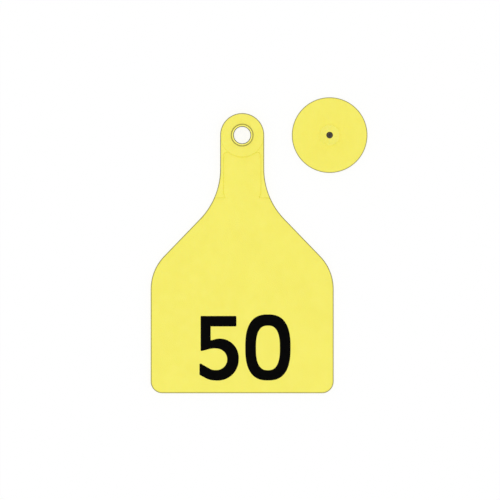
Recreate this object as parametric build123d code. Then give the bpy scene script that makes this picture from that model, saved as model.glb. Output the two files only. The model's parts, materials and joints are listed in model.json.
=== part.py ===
from build123d import *
import math
import os

# Two-piece livestock ear tag, apart and lying flat with its print side up.
# The panel is a flexible moulding with a hard locking ring at its neck. Beside it lies
# the button, a disc with a hollow stud whose barbed head carries a hard metal tip. In use
# the tip pierces the ear, the stud passes through the ear and the panel's neck from the
# back, and the barb squeezes through the ring's throat and catches on its front rim.
# Millimetres. The origin is the centre of the locking hole at the back of the panel.
# +Z points out of the print side and +Y runs from the body of the panel to its neck.

# Panel outline
panel_length = 116.4  # from the top of the round head to the bottom edge
panel_width = 76.0
neck_width = 18.26  # also the diameter of the round head and of its boss
neck_straight_length = 14.0  # from the hole's centre down to where the neck widens
neck_sweep_radius = 30.0
shoulder_slope = 44.0  # degrees between the shoulder and the panel's centre line
shoulder_radius = 19.6
bottom_corner_radius = 4.8

# Panel section
blade_thickness = 1.7
blade_edge_radius = 0.75
boss_thickness = 2.6  # the round boss in which the locking ring sits
boss_rim_bevel = 0.25
rail_thickness = 2.3  # the rail down each side of the neck
rail_edge_radius = 0.3
rail_width = 1.32
rail_end_drop = 26.1  # from the hole's centre down to the end of the rails
rail_foot_flare = 0.75  # how much wider each rail is at its end
rail_foot_length = 1.8
rail_foot_radius = 1.5
rail_root_radius = 0.25
rail_crotch_radius = 1.6  # seen from the front, where the strip between the rails meets the boss

# Locking ring
ring_diameter = 8.7
ring_height = 3.5
ring_rim_bevel = 0.28
ring_flange_diameter = 11.4
ring_flange_height = 0.9
ring_flange_thickness = 1.0
throat_diameter = 6.9
throat_lead = 0.4
shutoff_groove_width = 0.3
shutoff_groove_depth = 0.4

# Button and stud
button_spacing = 36.35  # between the hole's centre and the stud's
button_diameter = 31.4
button_thickness = 1.6
button_edge_bevel = 0.5
stud_foot_height = 1.2
stud_foot_flare = 1.0  # how far the stud's conical foot spreads past the stem
stem_clearance = 0.35  # between the stem and the ring's throat
ear_gap = 10.0
stud_play = 0.2
barb_diameter = 8.2
barb_land = 0.7
head_cone_length = 3.6
nose_diameter = 3.2
applicator_bore_diameter = 2.6
applicator_bore_lead = 0.3

# Metal tip
tip_diameter = 2.8
tip_half_angle = 26.0  # degrees
tip_point_diameter = 0.3
tip_seat_rise = 0.4  # from the barb's catch up to the tip's flange
tip_flange_diameter = 3.3
tip_flange_thickness = 0.6
shank_diameter = 1.9

# Cutters run past the material by this much
overrun = 1.0

# Sizes that follow from the ones above
ring_wall = (ring_diameter - throat_diameter) / 2
stem_diameter = throat_diameter - 2 * stem_clearance
barb_height = button_thickness + ear_gap + ring_height + stud_play
nose_height = barb_height + barb_land + head_cone_length
tip_seat_height = barb_height + tip_seat_rise

# The most of a wall that one rounded or bevelled edge may take
edge_limit_share = 0.45


def limited(edge, wall):
    """The size of a rounding or a bevel, kept within what its wall can carry."""
    return min(edge, edge_limit_share * wall)


def turned(corners):
    """A solid turned about Z from the (radius, height) corners of its half section."""
    return revolve(Plane.XZ * make_face(Polyline(*corners, close=True)), Axis.Z)


def panel_outline():
    """The flat outline: round head, straight neck, sweep, sloping shoulder, straight side."""
    half_neck = neck_width / 2
    half_width = panel_width / 2
    slope = math.radians(shoulder_slope)
    neck_corner = -neck_straight_length - neck_sweep_radius * math.tan(slope / 2)
    side_corner = neck_corner - (half_width - half_neck) / math.tan(slope)
    bottom = half_neck - panel_length
    right = [(half_neck, 0), (half_neck, neck_corner), (half_width, side_corner), (half_width, bottom)]
    left = [(-x, y) for x, y in reversed(right)]
    radii = [neck_sweep_radius, shoulder_radius, bottom_corner_radius]
    skirt = FilletPolyline(*right, *left, radius=radii + radii[::-1])
    head = ThreePointArc((-half_neck, 0), (0, half_neck), (half_neck, 0))
    return make_face(skirt.edges() + head.edges())


def blade():
    """The flexible sheet of the panel, rounded at the front and square at the mould's parting face."""
    sheet = extrude(panel_outline(), blade_thickness)
    return fillet(sheet.edges().group_by(Axis.Z)[-1], limited(blade_edge_radius, blade_thickness))


def rail_gap():
    """The sunk strip between the rails, from the boss to just past the rails' ends."""
    half_gap = neck_width / 2 - rail_width
    foot_top = rail_foot_length - rail_end_drop
    gap_end = -rail_end_drop - overrun
    end_flare = rail_foot_flare * (rail_foot_length + overrun) / rail_foot_length
    right = [(half_gap, 0), (half_gap, foot_top), (half_gap - end_flare, gap_end)]
    left = [(-x, y) for x, y in reversed(right)]
    radii = [rail_foot_radius, 0, 0, rail_foot_radius]
    strip = FilletPolyline(*right, *left, radius=radii)
    closing = Line(left[-1], right[0])
    area = make_face(strip.edges() + closing.edges()) - Circle(neck_width / 2)
    notches = area.vertices().group_by(Axis.Y)[-1]
    area = fillet(notches, rail_crotch_radius)
    depth = rail_thickness - blade_thickness + overrun
    pocket = extrude(Pos(0, 0, blade_thickness) * area, depth)
    return fillet(pocket.edges().group_by(Axis.Z)[0], rail_root_radius)


def rails():
    """The thicker part of the neck: a rail running down each edge, from the head to the shoulder."""
    window = Rectangle(panel_width, panel_length, align=(Align.CENTER, Align.MIN))
    area = panel_outline() & Pos(0, -rail_end_drop) * window
    start = blade_thickness / 2
    block = extrude(Pos(0, 0, start) * area, rail_thickness - start)
    block = block - rail_gap()
    return fillet(block.edges().group_by(Axis.Z)[-1], limited(rail_edge_radius, rail_width))


def boss():
    """The round boss, as wide as the neck and a little higher than the rails."""
    rim = neck_width / 2
    bevel = limited(boss_rim_bevel, boss_thickness)
    return turned(
        [
            (0, 0),
            (rim, 0),
            (rim, boss_thickness - bevel),
            (rim - bevel, boss_thickness),
            (0, boss_thickness),
        ]
    )


def ring_envelope():
    """The ring without its hole, which is also the seat that the panel is moulded round."""
    outer = ring_diameter / 2
    flange = ring_flange_diameter / 2
    flange_top = ring_flange_height + ring_flange_thickness
    bevel = limited(ring_rim_bevel, ring_wall)
    return turned(
        [
            (0, 0),
            (outer, 0),
            (outer, ring_flange_height),
            (flange, ring_flange_height),
            (flange, flange_top),
            (outer, flange_top),
            (outer, ring_height - bevel),
            (outer - bevel, ring_height),
            (0, ring_height),
        ]
    )


def locking_ring():
    """The hard ring: a throat that flares at the back, where the stud comes in."""
    throat = throat_diameter / 2
    bevel = limited(ring_rim_bevel, ring_wall)
    hole = turned(
        [
            (0, -overrun),
            (throat + throat_lead + overrun, -overrun),
            (throat, throat_lead),
            (throat, ring_height - bevel),
            (throat + bevel + overrun, ring_height + overrun),
            (0, ring_height + overrun),
        ]
    )
    return ring_envelope() - hole


def panel():
    """The flexible panel, with the ring's seat and the shut-off groove round the ring."""
    groove = Cylinder(
        ring_diameter / 2 + shutoff_groove_width,
        shutoff_groove_depth + overrun,
        align=(Align.CENTER, Align.CENTER, Align.MIN),
    )
    groove = Pos(0, 0, boss_thickness - shutoff_groove_depth) * groove
    return blade() + rails() + boss() - ring_envelope() - groove


def pin_tip():
    """The hard metal tip: a blunted cone on a shank, with a flange that anchors it."""
    cone = tip_diameter / 2
    shank = shank_diameter / 2
    flange = tip_flange_diameter / 2
    flange_top = tip_seat_height + tip_flange_thickness
    point = tip_point_diameter / 2
    point_height = nose_height + (cone - point) / math.tan(math.radians(tip_half_angle))
    body = turned(
        [
            (0, tip_seat_height),
            (flange, tip_seat_height),
            (flange, flange_top),
            (shank, flange_top),
            (shank, nose_height),
            (cone, nose_height),
            (point, point_height),
            (0, point_height),
        ]
    )
    return Pos(button_spacing, 0, 0) * body


def button():
    """The flexible button: a bevelled disc, the hollow stem of the stud and its barbed head."""
    rim = button_diameter / 2
    bevel = limited(button_edge_bevel, button_thickness)
    stem = stem_diameter / 2
    barb = barb_diameter / 2
    bore = applicator_bore_diameter / 2
    body = turned(
        [
            (bore + applicator_bore_lead, 0),
            (rim, 0),
            (rim, button_thickness - bevel),
            (rim - bevel, button_thickness),
            (stem + stud_foot_flare, button_thickness),
            (stem, button_thickness + stud_foot_height),
            (stem, barb_height),
            (barb, barb_height),
            (barb, barb_height + barb_land),
            (nose_diameter / 2, nose_height),
            (0, nose_height),
            (0, tip_seat_height),
            (bore, tip_seat_height),
            (bore, applicator_bore_lead),
        ]
    )
    return Pos(button_spacing, 0, 0) * body - pin_tip()


nodes = {
    "panel": panel(),
    "locking_ring": locking_ring(),
    "button": button(),
    "pin_tip": pin_tip(),
}

os.makedirs("parts", exist_ok=True)
for name, solid in nodes.items():
    export_step(solid, f"parts/{name}.step")
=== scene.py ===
# %% [markdown]
# A two-piece livestock ear tag, apart and lying flat: a large flexible panel with a number
# printed on it, and a round button whose barbed stud snaps into the ring in the panel's neck.
#
# The solids come from a CAD model at their real size, in metres, with the origin at the back of
# the panel in the middle of the locking hole. They could all be modelled again here, but a
# moulding that has to lock and rest is better drawn once. So this script keeps the frame fixed
# and adds what the eye wants: fine roundings, ink, plastic, metal and light.

# %% Load the fixed frame
import json
import math

import bpy
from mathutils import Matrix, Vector

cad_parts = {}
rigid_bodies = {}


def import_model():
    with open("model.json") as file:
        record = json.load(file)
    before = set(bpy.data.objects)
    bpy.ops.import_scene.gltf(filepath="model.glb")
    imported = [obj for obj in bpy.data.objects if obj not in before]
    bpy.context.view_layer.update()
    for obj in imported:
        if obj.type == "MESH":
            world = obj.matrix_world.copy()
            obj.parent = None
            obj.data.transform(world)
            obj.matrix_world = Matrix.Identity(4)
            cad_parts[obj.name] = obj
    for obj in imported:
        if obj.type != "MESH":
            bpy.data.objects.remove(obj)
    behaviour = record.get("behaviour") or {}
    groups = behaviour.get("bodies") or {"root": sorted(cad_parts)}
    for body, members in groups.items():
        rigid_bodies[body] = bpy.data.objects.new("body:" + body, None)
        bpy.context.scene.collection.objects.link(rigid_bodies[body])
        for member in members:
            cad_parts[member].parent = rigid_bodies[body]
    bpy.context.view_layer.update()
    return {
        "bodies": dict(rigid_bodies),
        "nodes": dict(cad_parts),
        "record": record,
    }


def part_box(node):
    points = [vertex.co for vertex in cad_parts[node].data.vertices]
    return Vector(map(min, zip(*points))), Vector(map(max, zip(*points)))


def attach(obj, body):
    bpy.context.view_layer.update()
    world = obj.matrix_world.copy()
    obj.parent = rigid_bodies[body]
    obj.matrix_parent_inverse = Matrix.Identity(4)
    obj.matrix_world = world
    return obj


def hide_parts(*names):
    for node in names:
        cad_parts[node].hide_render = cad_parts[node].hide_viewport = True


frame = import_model()
record = frame["record"]
mm = 0.001
print("CAD nodes:", ", ".join(sorted(frame["nodes"])))

# %% [markdown]
# Sizes that the frame already holds aren't typed a second time. A node's box gives its widths
# and heights, and the record's mounts give the radii of the holes and of the barb. The panel's
# head is half a circle round the hole, which is at the origin, so the top of the panel's box is
# also half the width of its neck. Only what none of these can tell is typed in the cells below,
# such as the roundings, which are finer than the CAD model's.

# %% Read the sizes that the frame holds
panel_low, panel_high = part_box("panel")
ring_low, ring_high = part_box("locking_ring")
button_low, button_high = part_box("button")
tip_low, tip_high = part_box("pin_tip")
radii = {mount["name"]: mount["dims"].get("r_mm", 0) * mm for mount in record["mounts"]}

panel_width = panel_high.x - panel_low.x
half_neck = panel_high.y
stud_axis = (button_low.x + button_high.x) / 2
button_radius = (button_high.x - button_low.x) / 2
throat_radius = radii["lock_hole"]
socket_radius = radii["applicator_socket"]
barb_radius = radii["barb"]
print("panel width mm:", round(panel_width / mm, 2))
print("button radius mm:", round(button_radius / mm, 2))

# %% [markdown]
# The photograph is a flat view from straight above, with no perspective at all. A very long
# lens comes close, but the stud stands 22 mm tall and its tip would still lean outwards by a
# pixel. An orthographic camera has no lean, so the tip stays at the middle of its disc. The
# panel's width in pixels sets the scale, and the hole's pixel sets where the camera stands.

# %% Place the camera
photo_width_px = 500
panel_width_px = 182.86
hole_px = Vector((242.17, 135.1))
camera_height = 1.0


def add_object(name, data):
    """A new object, linked into the scene."""
    made = bpy.data.objects.new(name, data)
    bpy.context.scene.collection.objects.link(made)
    return made


pixel = panel_width / panel_width_px
photo_centre = Vector((photo_width_px, photo_width_px)) / 2
target = Vector((photo_centre.x - hole_px.x, hole_px.y - photo_centre.y)) * pixel

lens = bpy.data.cameras.new("Flat view")
lens.type = "ORTHO"
lens.ortho_scale = photo_width_px * pixel
camera = add_object("Camera", lens)
camera.location = (target.x, target.y, camera_height)
bpy.context.scene.camera = camera
print("one pixel is", round(pixel / mm, 4), "mm")
print("the picture is", round(lens.ortho_scale / mm, 1), "mm wide")

# %% [markdown]
# Every node tree below, for shading or for geometry, is built with the same small helpers.
# feed gives a socket its source: it links another socket, and writes anything else as a plain
# value. add_node adds a node, sets its own options and then feeds its sockets. calculate adds
# a Math node, which is the one that is used most.

# %% Helpers for node trees
def feed(tree, socket, source):
    """Links a socket to its source, or writes the source as the socket's plain value."""
    if isinstance(source, bpy.types.NodeSocket):
        tree.links.new(source, socket)
    else:
        socket.default_value = source


def add_node(tree, kind, sources=None, **options):
    """Adds a node with its options set and its sockets, by name or number, fed."""
    node = tree.nodes.new(kind)
    for name, value in options.items():
        setattr(node, name, value)
    for key, source in (sources or {}).items():
        feed(tree, node.inputs[key], source)
    return node


def calculate(tree, operation, first, second=0.0):
    """The output socket of a Math node."""
    node = add_node(tree, "ShaderNodeMath", {0: first, 1: second}, operation=operation)
    return node.outputs[0]


# %% [markdown]
# The light is that of a plain light tent: an even white sky, plus one broad lamp overhead. Four
# soft lamps round the tag could do the same, with more to balance. Sky and lamp together add up
# to one, so a colour renders about as it is written. Most of it is sky, because the photograph
# has hardly any shading. The lamp's fifth darkens, just a little, every surface that rolls away
# from the camera, so the rails, the boss and the stud can be made out. A sun of strength pi is
# a full share: it lights a level white surface to pure white.
#
# The background is white without more light on the tag. Camera, glossy and transmission rays
# see the sky at full white, while the rays that light the tag see it at its share.

# %% Light the scene
sky_share = 0.8
lamp_share = 1 - sky_share
lamp_spread = math.radians(20)
full_sun = math.pi
white = (1, 1, 1, 1)


def seen_directly(tree):
    """1 for a ray that the camera, a reflection or a clear material sends, and 0 for light."""
    path = add_node(tree, "ShaderNodeLightPath").outputs
    seen = calculate(tree, "MAXIMUM", path["Is Camera Ray"], path["Is Glossy Ray"])
    return calculate(tree, "MAXIMUM", seen, path["Is Transmission Ray"])


world = bpy.data.worlds.new("Light tent")
world.use_nodes = True
sky_tree = world.node_tree
sky_tree.nodes.clear()
extra = calculate(sky_tree, "MULTIPLY", seen_directly(sky_tree), lamp_share)
strength = calculate(sky_tree, "ADD", extra, sky_share)
sky = add_node(sky_tree, "ShaderNodeBackground", {"Color": white, "Strength": strength})
add_node(sky_tree, "ShaderNodeOutputWorld", {"Surface": sky.outputs[0]})
bpy.context.scene.world = world

lamp = bpy.data.lights.new("Overhead lamp", "SUN")
lamp.energy = full_sun * lamp_share
lamp.angle = lamp_spread
add_object("Overhead lamp", lamp)

bpy.context.scene.view_settings.view_transform = "Standard"
print("sky", sky_share, "and lamp", round(lamp_share, 2))

# %% [markdown]
# The floor is a plain sheet that the tag lies on. To the camera it is mostly glow and a little
# matt white: the glow keeps it as bright as the sky, and the matt part still darkens where the
# tag shades it. A shadow catcher could do that too, but only in a composited picture. To every
# other ray the floor is a sheet of white paper. It lies a hair below the tag's back, since two
# faces in one plane would flicker.

# %% Lay the floor
floor_reach = 4.0
floor_drop = 0.02 * mm
floor_albedo = 0.95
floor_shade_share = 0.2


def new_material(name):
    """An empty node material and its tree."""
    material = bpy.data.materials.new(name)
    material.use_nodes = True
    material.node_tree.nodes.clear()
    return material, material.node_tree


def show_surface(tree, shader):
    """Makes a shader node the look of the material's surface."""
    add_node(tree, "ShaderNodeOutputMaterial", {"Surface": shader.outputs[0]})


def matt(tree, level):
    """A matt grey shader, from black at 0 to white at 1."""
    colour = (level, level, level, 1)
    return add_node(tree, "ShaderNodeBsdfDiffuse", {"Color": colour}).outputs[0]


def floor_material():
    """White to the camera, with the tag's soft shadow on it."""
    material, tree = new_material("White floor")
    glow_level = {"Color": white, "Strength": 1 - floor_shade_share}
    glow = add_node(tree, "ShaderNodeEmission", glow_level).outputs[0]
    both = {0: glow, 1: matt(tree, floor_shade_share)}
    to_camera = add_node(tree, "ShaderNodeAddShader", both).outputs[0]
    choice = {0: seen_directly(tree), 1: matt(tree, floor_albedo), 2: to_camera}
    show_surface(tree, add_node(tree, "ShaderNodeMixShader", choice))
    return material


signs = ((-1, -1), (1, -1), (1, 1), (-1, 1))
floor_corners = [(x * floor_reach, y * floor_reach, 0) for x, y in signs]
floor_mesh = bpy.data.meshes.new("Floor")
floor_mesh.from_pydata(floor_corners, [], [(0, 1, 2, 3)])
floor_mesh.materials.append(floor_material())
floor = add_object("Floor", floor_mesh)
floor.location.z = -floor_drop
print("the floor reaches", floor_reach, "m each way")

# %% [markdown]
# The panel and the button are flexible polyurethane, moulded against a satin steel face. Three
# things give that away up close: the pigment is a little cloudy, the surface has a fine grain,
# and its sheen comes and goes. A flat colour has none of them. Each is one noise texture on
# Object coordinates, which stay put on the piece from any side. Noise rarely leaves the middle
# of its range, so spread stretches that middle over the range that is wanted.

# %% Helpers for uneven materials
noise_low = 0.3
noise_high = 0.7
coarse_detail = 2
fine_detail = 4


def object_place(tree):
    """The place on the piece, in Object coordinates."""
    return add_node(tree, "ShaderNodeTexCoord").outputs["Object"]


def noise(tree, size, detail=coarse_detail):
    """A noise texture on Object coordinates whose features are about this many metres across."""
    sources = {"Vector": object_place(tree), "Scale": 1 / size, "Detail": detail}
    return add_node(tree, "ShaderNodeTexNoise", sources).outputs[0]


def spread(tree, value, low, high):
    """Stretches the range that noise really uses over a new range."""
    sources = {0: value, 1: noise_low, 2: noise_high, 3: low, 4: high}
    return add_node(tree, "ShaderNodeMapRange", sources).outputs[0]


def blend_colours(tree, value, first, second):
    """The first colour at 0 and the second at 1."""
    sources = {0: value, 6: first, 7: second}
    return add_node(tree, "ShaderNodeMix", sources, data_type="RGBA").outputs[2]


def bump(tree, height, depth):
    """A bump of this depth in metres."""
    return add_node(tree, "ShaderNodeBump", {"Height": height, "Distance": depth}).outputs[0]


# %% [markdown]
# A rounded rim is painted a deeper colour than the flat beside it. This is painted shade: it
# deepens the shade of roundings that roll away from the lamp overhead, as a thin olive outline.
# The Pointiness output could find such edges, but what it finds depends on how finely a mesh is
# divided. Here the painted shade follows the surface's own tilt, so it sits in the roundings from
# every side. The upward part of the normal tells the tilt: it is 1 on a flat, 0 on an upright
# wall and in between on a rounding. The walls keep only a trace of the colour.

# %% Find a rounding by its tilt
flat_level = 0.93
rounding_level = 0.7
wall_level = 0.4
wall_trace = 0.18


def split(tree, vector):
    """The X, Y and Z of a vector."""
    return add_node(tree, "ShaderNodeSeparateXYZ", {0: vector}).outputs


def stretch(tree, value, low, high, at_low, at_high):
    """Goes smoothly from one result, where the value is low, to the other, where it is high."""
    sources = {0: value, 1: low, 2: high, 3: at_low, 4: at_high}
    smooth = add_node(tree, "ShaderNodeMapRange", sources, interpolation_type="SMOOTHSTEP")
    return smooth.outputs[0]


# Painted shade: the mask of roundings that get a darker colour.
def rounding_shade_mask(tree):
    """1 in a rounding, 0 where the surface faces up or down, and a trace on upright walls."""
    normal = add_node(tree, "ShaderNodeNewGeometry").outputs["Normal"]
    level = calculate(tree, "ABSOLUTE", split(tree, normal)["Z"])
    tilted = stretch(tree, level, rounding_level, flat_level, 1.0, 0.0)
    above_wall = stretch(tree, level, 0.0, wall_level, wall_trace, 1.0)
    return calculate(tree, "MULTIPLY", tilted, above_wall)


# %% [markdown]
# The neck has rails and a boss, which are tilted in more places than its outline. There the
# painted shade goes by how far a point is inside the outline: a half circle, two straight sides
# and two sweeps that lead into the blade. The narrow groove between the ring and the boss gets
# painted shade too, as the shade of a recess, and it is found by its radius round the hole.
# Both marks fade to the walls' trace on the way down to the blade's front.

# %% Find the rim of the panel
blade_front = 1.7 * mm
neck_straight_length = 14 * mm
neck_sweep_radius = 30 * mm
neck_end = 26.1 * mm
rim_full = 0.2 * mm
rim_width = 0.42 * mm
rim_depth = 0.3 * mm
groove_radius = 4.65 * mm
groove_blur = 0.25 * mm
groove_shade_share = 0.55


def join(tree, axes):
    """A vector from its X, Y and Z."""
    return add_node(tree, "ShaderNodeCombineXYZ", axes).outputs[0]


def distance(tree, x, y):
    """How far a point with these two coordinates is from the axis."""
    point = {0: join(tree, {"X": x, "Y": y})}
    return add_node(tree, "ShaderNodeVectorMath", point, operation="LENGTH").outputs["Value"]


def neck_outline(tree, place):
    """How far the neck's outline is from its middle line, at a point's height along the panel."""
    down = calculate(tree, "SUBTRACT", -neck_straight_length, place["Y"])
    swept = calculate(tree, "POWER", calculate(tree, "MAXIMUM", down, 0.0), 2.0)
    chord = calculate(tree, "SQRT", calculate(tree, "SUBTRACT", neck_sweep_radius**2, swept))
    return calculate(tree, "SUBTRACT", half_neck + neck_sweep_radius, chord)


# Painted shade on the panel: its rims and the groove round the ring.
def panel_shade_mask(tree):
    """The rim of the blade by its tilt, and that of the neck by its nearness to the outline."""
    place = split(tree, object_place(tree))
    reach = distance(tree, place["X"], calculate(tree, "MAXIMUM", place["Y"], 0.0))
    inset = calculate(tree, "SUBTRACT", neck_outline(tree, place), reach)
    beside = stretch(tree, inset, rim_full, rim_width, 1.0, 0.0)
    round_hole = distance(tree, place["X"], place["Y"])
    mouth = groove_radius + groove_blur
    in_groove = stretch(tree, round_hole, groove_radius, mouth, groove_shade_share, 0.0)
    marked = calculate(tree, "MAXIMUM", beside, in_groove)
    raised = blade_front + rim_depth
    near_top = stretch(tree, place["Z"], blade_front, raised, wall_trace, 1.0)
    neck = calculate(tree, "MULTIPLY", marked, near_top)
    on_neck = calculate(tree, "GREATER_THAN", place["Y"], -neck_end)
    either = {0: on_neck, 2: rounding_shade_mask(tree), 3: neck}
    return add_node(tree, "ShaderNodeMix", either).outputs[0]


print("the neck is", round(2 * half_neck / mm, 2), "mm wide")

# %% [markdown]
# On the button only the disc's rim gets the painted shade, and not the roundings of the stud.
# The front edge of the ring's throat gets a bold line of painted shade, and the edge that sits in
# the boss a thin one. Both go by the radius round the hole and by the height.

# %% Find the rims of the disc and the ring
ring_radius = 4.35 * mm
throat_rim = 0.3 * mm
seat_rim = 0.04 * mm
rim_blur = 0.06 * mm


def from_stud_axis(tree):
    """How far a point is from the stud's axis."""
    place = split(tree, object_place(tree))
    return distance(tree, calculate(tree, "SUBTRACT", place["X"], stud_axis), place["Y"])


# Painted shade on the disc's rim.
def disc_shade_mask(tree):
    """The rim of the button's disc, without the roundings of its stud."""
    inner = button_radius - 2 * rim_width
    outside = calculate(tree, "GREATER_THAN", from_stud_axis(tree), inner)
    return calculate(tree, "MULTIPLY", rounding_shade_mask(tree), outside)


# Painted shade on the ring's throat edge and on its seat edge.
def ring_shade_mask(tree):
    """The front edge of the ring's throat, and more thinly the edge in the boss."""
    place = split(tree, object_place(tree))
    reach = distance(tree, place["X"], place["Y"])
    inner = throat_radius + throat_rim
    outer = ring_radius - seat_rim
    at_throat = stretch(tree, reach, inner - rim_blur, inner + rim_blur, 1.0, 0.0)
    at_seat = stretch(tree, reach, outer - rim_blur, outer + rim_blur, 0.0, 1.0)
    marked = calculate(tree, "MAXIMUM", at_throat, at_seat)
    top = ring_high.z
    near_top = stretch(tree, place["Z"], top - rim_width, top - rim_full, 0.0, 1.0)
    return calculate(tree, "MULTIPLY", marked, near_top)


print("the ring's front is", round((ring_radius - throat_radius) / mm, 2), "mm wide")

# %% [markdown]
# The plastic of the stud, and of the disc close round its root, is painted a little paler. This
# is painted light: it takes off most of the shade that the stud casts on its disc. A thick piece
# of such plastic does send back a little more light, but the amount here is set to cancel that
# shade. Letting more light into the whole button could pale it too, but its thin disc would
# change as well. Here the colour goes by how far a point is from the stud's axis.

# %% Paint light where the stud's shade falls
painted_light_reach = 7 * mm


# Painted light: where the plastic is painted paler round the stud.
def stud_painted_light(tree):
    """1 on the stud, and less and less round its root."""
    return stretch(tree, from_stud_axis(tree), barb_radius, painted_light_reach, 1.0, 0.0)


print("the plastic is paler up to", round(painted_light_reach / mm, 1), "mm from the stud's axis")

# %% [markdown]
# The yellow is mixed once for all three mouldings. Light goes a little way into the plastic,
# which the subsurface part does. The panel and the button are soft. The ring is moulded from a
# harder plastic, so it is glossier, takes in less light and has a shallower grain.

# %% Mix the yellow plastics
yellow = (0.905, 0.832, 0.112, 1)
yellow_cloud = (0.890, 0.813, 0.106, 1)
# The paler yellow is painted light round the stud.
yellow_painted_light = (0.960, 0.885, 0.127, 1)
# The two dark colours are painted shade for the roundings of the soft and the hard plastic.
yellow_painted_shade = (0.22, 0.195, 0.065, 1)
ring_painted_shade = (0.06, 0.055, 0.03, 1)
cloud_size = 12 * mm
sheen_size = 3 * mm
sheen_swing = 0.05
grain = 0.06 * mm
plastic_ior = 1.5
plastic_specular = 0.35
scatter_colour = (0.9, 0.7, 0.2)
scatter_depth = 0.6 * mm


def satin_plastic(name, shade_mask, edge, roughness, grain_size, grain_depth, scatter, painted_light=None):
    """Yellow moulded plastic: cloudy pigment, a fine grain, an uneven sheen and painted rim shade.
    """
    material, tree = new_material(name)
    cloud = spread(tree, noise(tree, cloud_size), 0, 1)
    pigment = blend_colours(tree, cloud, yellow, yellow_cloud)
    # Painted light, where given: a paler yellow where a shade falls.
    if painted_light:
        pigment = blend_colours(tree, painted_light(tree), pigment, yellow_painted_light)
    dull, shiny = roughness + sheen_swing, roughness - sheen_swing
    sources = {
        # The mask blends in the edge colour: painted shade in the roundings.
        "Base Color": blend_colours(tree, shade_mask(tree), pigment, edge),
        "Roughness": spread(tree, noise(tree, sheen_size), shiny, dull),
        "Normal": bump(tree, noise(tree, grain_size, fine_detail), grain_depth),
        "IOR": plastic_ior,
        "Specular IOR Level": plastic_specular,
        "Subsurface Weight": scatter,
        "Subsurface Radius": scatter_colour,
        "Subsurface Scale": scatter_depth,
    }
    show_surface(tree, add_node(tree, "ShaderNodeBsdfPrincipled", sources))
    return material


# In each set, the edge colour is the painted shade of the roundings.
soft = {"edge": yellow_painted_shade, "roughness": 0.45, "grain_depth": grain, "scatter": 0.1}
hard = {"edge": ring_painted_shade, "roughness": 0.25, "grain_depth": 0.3 * grain, "scatter": 0.05}
panel_plastic = satin_plastic("Panel plastic", panel_shade_mask, grain_size=0.35 * mm, **soft)
button_plastic = satin_plastic(
    "Button plastic", disc_shade_mask, grain_size=0.3 * mm, painted_light=stud_painted_light, **soft
)
ring_plastic = satin_plastic("Ring plastic", ring_shade_mask, grain_size=0.5 * mm, **hard)
print("plastics:", panel_plastic.name, "/", button_plastic.name, "/", ring_plastic.name)

# %% [markdown]
# The tip is a small piece turned on a lathe and left dark. The tool leaves fine rings round its
# axis, far too fine to cut into the mesh. A wave texture in rings draws them, once a Mapping
# node has moved the pattern's centre onto the stud's axis. One ring of that texture is a tenth
# of pi wide, in the texture's own units, so the scale is that width divided by the pitch.

# %% Turn the dark metal
metal_colour = (0.014, 0.010, 0.017, 1)
metal_roughness = (0.3, 0.42)
metal_patch = 0.4 * mm
ring_pitch = 0.15 * mm
ring_depth = 0.015 * mm
ring_waver = 0.6
wave_length = math.pi / 10


def turned_metal():
    """Dark satin metal with the lathe's rings."""
    material, tree = new_material("Dark turned metal")
    shift = {"Vector": object_place(tree), "Location": (-stud_axis, 0, 0)}
    centred = add_node(tree, "ShaderNodeMapping", shift).outputs[0]
    wave = {"Vector": centred, "Scale": wave_length / ring_pitch, "Distortion": ring_waver}
    rings = add_node(tree, "ShaderNodeTexWave", wave, wave_type="RINGS", rings_direction="Z")
    sources = {
        "Base Color": metal_colour,
        "Metallic": 1.0,
        "Roughness": spread(tree, noise(tree, metal_patch), *metal_roughness),
        "Normal": bump(tree, rings.outputs["Fac"], ring_depth),
    }
    show_surface(tree, add_node(tree, "ShaderNodeBsdfPrincipled", sources))
    return material


tip_metal = turned_metal()
print("metal:", tip_metal.name)

# %% [markdown]
# The number is printed with a marking ink that bites into the plastic. It is nearly black and
# has little shine, but it isn't dead flat: the film is thinner here and there.

# %% Mix the ink
ink_black = (0.0005, 0.0005, 0.0005, 1)
ink_thin = (0.0012, 0.0012, 0.001, 1)
ink_specular = 0.02
ink_roughness = (0.5, 0.65)
ink_patch = 0.8 * mm
ink_grain_size = 0.35 * mm
ink_grain_depth = 0.01 * mm
thin_patch = 1.2 * mm


def marking_ink():
    """Black ink with a slightly uneven film."""
    material, tree = new_material("Marking ink")
    film = spread(tree, noise(tree, thin_patch, fine_detail), 0, 1)
    sources = {
        "Base Color": blend_colours(tree, film, ink_black, ink_thin),
        "Roughness": spread(tree, noise(tree, ink_patch), *ink_roughness),
        "Normal": bump(tree, noise(tree, ink_grain_size, fine_detail), ink_grain_depth),
        "Specular IOR Level": ink_specular,
    }
    show_surface(tree, add_node(tree, "ShaderNodeBsdfPrincipled", sources))
    return material


ink = marking_ink()
print("ink:", ink.name)

# %% [markdown]
# The button, the ring and the tip are all turned forms: one half section carried round an axis.
# They could be lathed with the Screw modifier or with Spin. Here a Geometry Nodes tree does it,
# because one tree then makes all three, and because it can round the corners first.
#
# The first helpers serve this tree and those of the figures. The outline of a form comes in as
# a chain of corners. Each corner carries a number, rounding, which is its radius. Mesh to Curve
# and Fillet Curve turn the chain into a smooth line. Each tree ends by making instances real,
# since the export would drop them, and by setting the material.

# %% Helpers for geometry trees
def new_geometry_tree(name, inputs):
    """A Geometry Nodes tree with named inputs, and its group input and output nodes."""
    tree = bpy.data.node_groups.new(name, "GeometryNodeTree")
    for label, (kind, value) in inputs.items():
        socket = tree.interface.new_socket(label, in_out="INPUT", socket_type=kind)
        if value is not None:
            socket.default_value = value
    tree.interface.new_socket("Mesh", in_out="OUTPUT", socket_type="NodeSocketGeometry")
    given = tree.nodes.new("NodeGroupInput").outputs
    result = tree.nodes.new("NodeGroupOutput").inputs
    return tree, given, result


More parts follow.
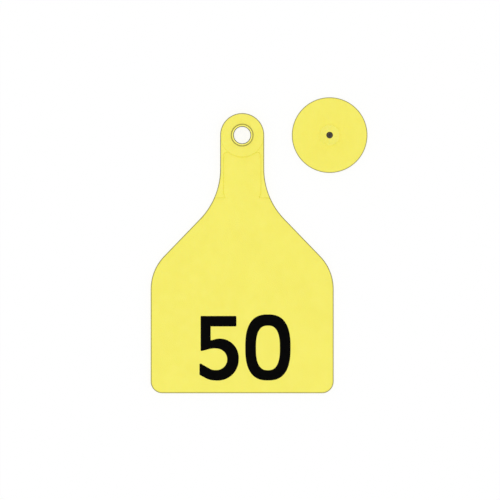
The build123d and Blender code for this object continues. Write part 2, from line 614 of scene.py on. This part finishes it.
def finish_tree(tree, mesh, material, result):
    """Ends a tree: instances are made real and the material is set."""
    real = add_node(tree, "GeometryNodeRealizeInstances", {"Geometry": mesh}).outputs[0]
    dressed = add_node(tree, "GeometryNodeSetMaterial", {0: real, "Material": material})
    tree.links.new(dressed.outputs[0], result[0])


def rounded_line(tree, corners, arc_steps):
    """The chain of corners as a curve, each corner rounded by its own radius."""
    line = add_node(tree, "GeometryNodeMeshToCurve", {"Mesh": corners}).outputs[0]
    radius = add_node(tree, "GeometryNodeInputNamedAttribute", {"Name": "rounding"}).outputs[0]
    sources = {"Curve": line, "Count": arc_steps, "Radius": radius, "Limit Radius": True}
    return add_node(tree, "GeometryNodeFilletCurve", sources, mode="POLY").outputs[0]


# %% [markdown]
# The turned tree lays down a grid as many points wide as the rounded line, and winds it round
# the axis: the first direction of the grid reads the line's points, and the second is the
# angle. Merge by Distance closes the seam and the poles. A new grid is shaded flat, so it is
# set smooth, and edges sharper than a limit stay crisp.

# %% Build the tree for turned forms
def crisp_edges(tree, mesh, limit):
    """Shades a mesh smooth, apart from edges that turn by more than the limit."""
    sources = {0: mesh, "Shade Smooth": True}
    smooth = add_node(tree, "GeometryNodeSetShadeSmooth", sources, domain="FACE").outputs[0]
    angle = add_node(tree, "GeometryNodeInputMeshEdgeAngle").outputs[0]
    sharp = calculate(tree, "GREATER_THAN", angle, limit)
    sources = {0: smooth, "Selection": sharp, "Shade Smooth": False}
    return add_node(tree, "GeometryNodeSetShadeSmooth", sources, domain="EDGE").outputs[0]


def read_line(tree, line, across):
    """The line's point for a place across the grid, from -0.5 to 0.5, and the number of points."""
    size = add_node(tree, "GeometryNodeAttributeDomainSize", {0: line}, component="CURVE")
    count = size.outputs["Point Count"]
    share = calculate(tree, "ADD", across, 0.5)
    last = calculate(tree, "SUBTRACT", count, 1)
    index = calculate(tree, "ROUND", calculate(tree, "MULTIPLY", share, last))
    place = add_node(tree, "GeometryNodeInputPosition").outputs[0]
    sources = {"Geometry": line, "Value": place, "Index": index}
    options = {"data_type": "FLOAT_VECTOR", "domain": "POINT"}
    read = add_node(tree, "GeometryNodeSampleIndex", sources, **options).outputs[0]
    return split(tree, read), count


def turned_form_tree():
    """Corners of a half section, as (radius, 0, height), in and a closed turned mesh out."""
    inputs = {
        "Corners": ("NodeSocketGeometry", None),
        "Axis X": ("NodeSocketFloat", 0.0),
        "Segments": ("NodeSocketInt", 160),
        "Arc Steps": ("NodeSocketInt", 7),
        "Crisp Angle": ("NodeSocketFloat", math.radians(30)),
        "Merge Distance": ("NodeSocketFloat", 0.001 * mm),
        "Material": ("NodeSocketMaterial", None),
    }
    tree, given, result = new_geometry_tree("Turned form", inputs)
    line = rounded_line(tree, given["Corners"], given["Arc Steps"])
    flat = split(tree, add_node(tree, "GeometryNodeInputPosition").outputs[0])
    section, count = read_line(tree, line, flat["X"])
    rows = calculate(tree, "ADD", given["Segments"], 1)
    grid = {"Size X": 1.0, "Size Y": 1.0, "Vertices X": count, "Vertices Y": rows}
    sheet = add_node(tree, "GeometryNodeMeshGrid", grid).outputs[0]

    angle = calculate(tree, "MULTIPLY", flat["Y"], -2 * math.pi)
    x = calculate(tree, "MULTIPLY", section["X"], calculate(tree, "COSINE", angle))
    x = calculate(tree, "ADD", x, given["Axis X"])
    y = calculate(tree, "MULTIPLY", section["X"], calculate(tree, "SINE", angle))
    wound = {"Geometry": sheet, "Position": join(tree, {"X": x, "Y": y, "Z": section["Z"]})}
    shell = add_node(tree, "GeometryNodeSetPosition", wound).outputs[0]
    sources = {"Geometry": shell, "Distance": given["Merge Distance"]}
    closed = add_node(tree, "GeometryNodeMergeByDistance", sources).outputs[0]
    smooth = crisp_edges(tree, closed, given["Crisp Angle"])
    finish_tree(tree, smooth, given["Material"], result)
    return tree


turned_tree = turned_form_tree()
print("tree:", turned_tree.name, "with", len(turned_tree.nodes), "nodes")

# %% [markdown]
# A tree only runs inside a modifier on some object. So the corners become a small mesh of points
# and edges, the modifier turns it into the finished form, and the result is copied out as a
# plain mesh. The modifier goes with the helper object, and the piece that stays has none. Each
# piece then reports its size, and whether it is closed: no edge is open or loose.

# %% Run a tree and keep its mesh
def corner_chain(name, corners, closed=False):
    """A mesh of points and edges; a corner is (x, y, z, rounding)."""
    mesh = bpy.data.meshes.new(name)
    edges = [(i, i + 1) for i in range(len(corners) - 1)]
    if closed:
        edges.append((len(corners) - 1, 0))
    mesh.from_pydata([corner[:3] for corner in corners], edges, [])
    rounding = mesh.attributes.new("rounding", "FLOAT", "POINT")
    rounding.data.foreach_set("value", [corner[3] for corner in corners])
    return mesh


def report(piece):
    """Prints a piece's faces and its volume, which is positive when the faces point outwards."""
    mesh = piece.data
    mesh.calc_loop_triangles()
    points = [vertex.co for vertex in mesh.vertices]
    triangles = [[points[i] for i in triangle.vertices] for triangle in mesh.loop_triangles]
    volume = sum(a.dot(b.cross(c)) for a, b, c in triangles) / 6
    edges_used = {}
    for polygon in mesh.polygons:
        for key in polygon.edge_keys:
            edges_used[key] = edges_used.get(key, 0) + 1
    open_edges = sum(1 for uses in edges_used.values() if uses != 2)
    loose = len(mesh.edges) - len(edges_used)
    print(piece.name, len(triangles), "triangles,", round(volume / mm**3, 1), "mm3,", end=" ")
    print(open_edges, "open edges,", loose, "loose edges")


def grow(name, tree, mesh, **values):
    """Runs a tree on a mesh and returns the result as a new object with no modifier."""
    helper = add_object(name + "_helper", mesh)
    modifier = helper.modifiers.new(tree.name, "NODES")
    modifier.node_group = tree
    for item in tree.interface.items_tree:
        key = item.name.lower().replace(" ", "_")
        if item.in_out == "INPUT" and key in values:
            modifier[item.identifier] = values[key]
    depsgraph = bpy.context.evaluated_depsgraph_get()
    evaluated = helper.evaluated_get(depsgraph)
    made = bpy.data.meshes.new_from_object(evaluated, depsgraph=depsgraph)
    made.name = name
    bpy.data.objects.remove(helper)
    piece = add_object(name, made)
    report(piece)
    return piece


# %% [markdown]
# The button is a disc with a stud. On the real one every outside corner is slightly round,
# because a mould's corner never fills to a point, and the stem meets the disc in a generous
# curve so that it doesn't tear off. The stud is hollow from below: the pin of the applicator
# pushes on the foot of the metal tip. The section runs once round the solid part, from the mouth
# of that socket out along the base, up over the rim and the barb, and back down the inside.

# %% Turn the button
disc_front = 1.6 * mm
rim_rounding = 0.65 * mm
stem_radius = 3.1 * mm
stem_root_rounding = 1.3 * mm
barb_catch = 15.3 * mm
barb_land = 0.7 * mm
nose_radius = 1.6 * mm
shank_radius = 0.95 * mm
tip_flange_thickness = 0.6 * mm
socket_lead = 0.3 * mm
mould_corner = 0.12 * mm


def upright(section):
    """Corners (radius, height, rounding) stood up in the plane of X and Z."""
    return [(radius, 0, height, rounding) for radius, height, rounding in section]


nose_height = button_high.z
tip_flange_radius = (tip_high.x - tip_low.x) / 2
tip_flange_top = tip_low.z + tip_flange_thickness
button_section = [
    (socket_radius + socket_lead, 0, 0),
    (button_radius, 0, mould_corner),
    (button_radius, disc_front, rim_rounding),
    (stem_radius, disc_front, stem_root_rounding),
    (stem_radius, barb_catch, mould_corner),
    (barb_radius, barb_catch, mould_corner),
    (barb_radius, barb_catch + barb_land, 2 * mould_corner),
    (nose_radius, nose_height, mould_corner),
    (shank_radius, nose_height, 0),
    (shank_radius, tip_flange_top, 0),
    (tip_flange_radius, tip_flange_top, 0),
    (tip_flange_radius, tip_low.z, 0),
    (socket_radius, tip_low.z, 0),
    (socket_radius, socket_lead, 0),
    (socket_radius + socket_lead, 0, 0),
]
chain = corner_chain("button_section", upright(button_section))
button = grow("button_moulding", turned_tree, chain, axis_x=stud_axis, material=button_plastic)

# %% [markdown]
# The ring is turned the same way. Its hole is wide enough for the stem and too narrow for the
# barb, which squeezes through from the back and then sits on the front rim: that is the lock.
# The lead at the back guides the barb in, and the flange sits inside the panel's boss.

# %% Turn the locking ring
flange_back = 0.9 * mm
flange_front = 1.9 * mm
throat_lead = 0.4 * mm
ring_rim_rounding = 0.34 * mm

ring_front = ring_high.z
ring_flange_radius = (ring_high.x - ring_low.x) / 2
ring_section = [
    (throat_radius + throat_lead, 0, 0),
    (ring_radius, 0, 0),
    (ring_radius, flange_back, 0),
    (ring_flange_radius, flange_back, mould_corner),
    (ring_flange_radius, flange_front, mould_corner),
    (ring_radius, flange_front, 0),
    (ring_radius, ring_front, ring_rim_rounding),
    (throat_radius, ring_front, ring_rim_rounding),
    (throat_radius, throat_lead, mould_corner),
    (throat_radius + throat_lead, 0, 0),
]
chain = corner_chain("ring_section", upright(ring_section))
ring = grow("hard_ring", turned_tree, chain, material=ring_plastic)

# %% [markdown]
# The tip ends in a blunted point. Its section starts and ends on the axis, so each end closes
# into a pole there instead of a hole.

# %% Turn the metal tip
tip_cone_radius = 1.4 * mm
tip_cone_rounding = 0.04 * mm
tip_point_radius = 0.15 * mm
tip_point_rounding = 0.12 * mm

tip_section = [
    (0, tip_low.z, 0),
    (tip_flange_radius, tip_low.z, 0),
    (tip_flange_radius, tip_flange_top, 0),
    (shank_radius, tip_flange_top, 0),
    (shank_radius, nose_height, 0),
    (tip_cone_radius, nose_height, tip_cone_rounding),
    (tip_point_radius, tip_high.z, tip_point_rounding),
    (0, tip_high.z, 0),
]
chain = corner_chain("tip_section", upright(tip_section))
tip = grow("metal_tip", turned_tree, chain, axis_x=stud_axis, material=tip_metal)

# %% [markdown]
# The printed number is a film of ink, a few hundredths of a millimetre thick. It could be a
# texture, but then its edge would be only as sharp as the texture. A thin mesh stays sharp at any
# distance. The second half of the tree is the same for every figure: the outline is filled, the
# fill is pushed up by the film's thickness, and a flipped copy closes its underside.

# %% Build the tree for cornered figures
film_thickness = 0.04 * mm
film_root = 0.02 * mm
film_merge = 0.0001 * mm
film_inputs = {
    "Place": ("NodeSocketVector", None),
    "Thickness": ("NodeSocketFloat", film_thickness),
    "Material": ("NodeSocketMaterial", None),
}


def join_geometry(tree, *parts):
    """All the parts as one geometry."""
    both = tree.nodes.new("GeometryNodeJoinGeometry")
    for part in parts:
        tree.links.new(part, both.inputs[0])
    return both.outputs[0]


def add_film(tree, outline, given, result):
    """Fills an outline and makes the fill a closed film that starts just under the surface."""
    sources = {"Curve": outline}
    fill = add_node(tree, "GeometryNodeFillCurve", sources, mode="TRIANGLES").outputs[0]
    up = join(tree, {"Z": given["Thickness"]})
    sources = {"Mesh": fill, "Offset": up, "Offset Scale": 1.0, "Individual": False}
    raised = add_node(tree, "GeometryNodeExtrudeMesh", sources, mode="FACES").outputs[0]
    base = add_node(tree, "GeometryNodeFlipFaces", {"Mesh": fill}).outputs[0]
    sources = {"Geometry": join_geometry(tree, raised, base), "Distance": film_merge}
    closed = add_node(tree, "GeometryNodeMergeByDistance", sources).outputs[0]
    sources = {"Geometry": closed, "Offset": given["Place"]}
    moved = add_node(tree, "GeometryNodeSetPosition", sources).outputs[0]
    finish_tree(tree, moved, given["Material"], result)


def cornered_figure_tree():
    """A figure drawn by corners, each rounded by its own radius."""
    inputs = {
        "Corners": ("NodeSocketGeometry", None),
        "Arc Steps": ("NodeSocketInt", 24),
        **film_inputs,
    }
    tree, given, result = new_geometry_tree("Cornered figure", inputs)
    outline = rounded_line(tree, given["Corners"], given["Arc Steps"])
    add_film(tree, outline, given, result)
    return tree


cornered_tree = cornered_figure_tree()
print("tree:", cornered_tree.name, "with", len(cornered_tree.nodes), "nodes")

# %% [markdown]
# The nought needs no corners, because its shape follows a rule. Both its edges are superellipses:
# ovals whose exponent says how square they are, from 2 for an ellipse upwards. The tree draws a
# plain circle twice and moves each point to where the rule puts it.

# %% Build the tree for the nought
def superellipse(tree, given, edge):
    """A closed curve from the named half width, half height, exponent and rise of one edge."""
    sources = {"Resolution": given["Resolution"], "Radius": 1.0}
    circle = add_node(tree, "GeometryNodeCurvePrimitiveCircle", sources).outputs[0]
    unit = split(tree, add_node(tree, "GeometryNodeInputPosition").outputs[0])
    power = calculate(tree, "DIVIDE", 2.0, given[edge + " Exponent"])
    moved = {}
    for axis, reach in (("X", " Half Width"), ("Y", " Half Height")):
        size = calculate(tree, "POWER", calculate(tree, "ABSOLUTE", unit[axis]), power)
        signed = calculate(tree, "MULTIPLY", size, calculate(tree, "SIGN", unit[axis]))
        moved[axis] = calculate(tree, "MULTIPLY", signed, given[edge + reach])
    moved["Y"] = calculate(tree, "ADD", moved["Y"], given[edge + " Rise"])
    sources = {"Geometry": circle, "Position": join(tree, moved)}
    return add_node(tree, "GeometryNodeSetPosition", sources).outputs[0]


def superellipse_figure_tree():
    """Two superellipses, one inside the other, as a film of ink."""
    edges = ("Outer", "Inner")
    inputs = {"Resolution": ("NodeSocketInt", 160)}
    for edge in edges:
        inputs[edge + " Half Width"] = ("NodeSocketFloat", 1.0)
        inputs[edge + " Half Height"] = ("NodeSocketFloat", 1.0)
        inputs[edge + " Exponent"] = ("NodeSocketFloat", 2.0)
        inputs[edge + " Rise"] = ("NodeSocketFloat", 0.0)
    inputs.update(film_inputs)
    tree, given, result = new_geometry_tree("Nought", inputs)
    outline = join_geometry(tree, *(superellipse(tree, given, edge) for edge in edges))
    add_film(tree, outline, given, result)
    return tree


nought_tree = superellipse_figure_tree()
print("tree:", nought_tree.name, "with", len(nought_tree.nodes), "nodes")

# %% [markdown]
# The figures are about 27 mm tall, as on the photographed tag, so that a rider can read them from
# a distance. Nothing about them is special to one maker: they are plain upright numerals with
# strokes a little over 4 mm wide. The nought's tree takes no mesh in, so it runs on an empty one.

# %% Print the nought
nought_place = Vector((10.70, -88.25)) * mm
ink_base = blade_front - film_root
nought = grow(
    "ink_nought",
    nought_tree,
    bpy.data.meshes.new("empty"),
    place=(*nought_place, ink_base),
    thickness=film_root + film_thickness,
    outer_half_width=9.41 * mm,
    outer_half_height=13.71 * mm,
    outer_exponent=2.58,
    inner_half_width=4.98 * mm,
    inner_half_height=9.26 * mm,
    inner_exponent=2.59,
    inner_rise=-0.21 * mm,
    material=ink,
)

# %% [markdown]
# The five is drawn the way a sign writer lays it out: straight strokes first, then corners
# rounded until the bowl is right. Every place is a share of the figure's width or height, from
# its top left, followed by the corner's rounding. The outside of the bowl takes roundings near
# half of the bowl's height, and the inside much smaller ones.

# %% Print the five
five_place = Vector((-17.74, -75.10)) * mm
five_width = 16.19 * mm
five_height = 26.77 * mm
ink_corner = 0.4 * mm
bowl_foot_rounding = 0.3 * mm
bowl_start_rounding = 6.4 * mm
bowl_top_rounding = 8.1 * mm
bowl_rounding = 8.7 * mm
bowl_tail_rounding = 8.3 * mm
bowl_inner_rounding = 4.7 * mm

five_shares = [
    (0.029, 0.003, ink_corner),
    (0.948, 0.003, ink_corner),
    (0.948, 0.165, ink_corner),
    (0.287, 0.165, 0),
    (0.287, 0.384, bowl_foot_rounding),
    (0.457, 0.354, bowl_start_rounding),
    (1.017, 0.348, bowl_top_rounding),
    (0.997, 1.022, bowl_rounding),
    (0.262, 1.000, bowl_tail_rounding),
    (0.000, 0.917, ink_corner),
    (0.000, 0.730, ink_corner),
    (0.334, 0.845, bowl_inner_rounding),
    (0.712, 0.839, bowl_inner_rounding),
    (0.712, 0.531, bowl_inner_rounding),
    (0.357, 0.500, bowl_rounding),
    (0.029, 0.551, ink_corner),
]
five_corners = [
    (across * five_width, -down * five_height, 0, rounding)
    for across, down, rounding in five_shares
]
five = grow(
    "ink_five",
    cornered_tree,
    corner_chain("five_corners", five_corners, closed=True),
    place=(*five_place, ink_base),
    thickness=film_root + film_thickness,
    material=ink,
)

# %% [markdown]
# Now every piece gets its place in the frame. The turned forms stand for the plainer CAD nodes
# of the same shape, which stay hidden. The panel's CAD node has the right shape already, so it
# stays and only gets its plastic.

# %% Dress the frame
body = next(iter(frame["bodies"]))
for piece, node in ((button, "button"), (ring, "locking_ring"), (tip, "pin_tip")):
    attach(piece, body)
    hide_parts(node)
for piece in (nought, five):
    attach(piece, body)

panel = frame["nodes"]["panel"]
panel.data.materials.clear()
panel.data.materials.append(panel_plastic)
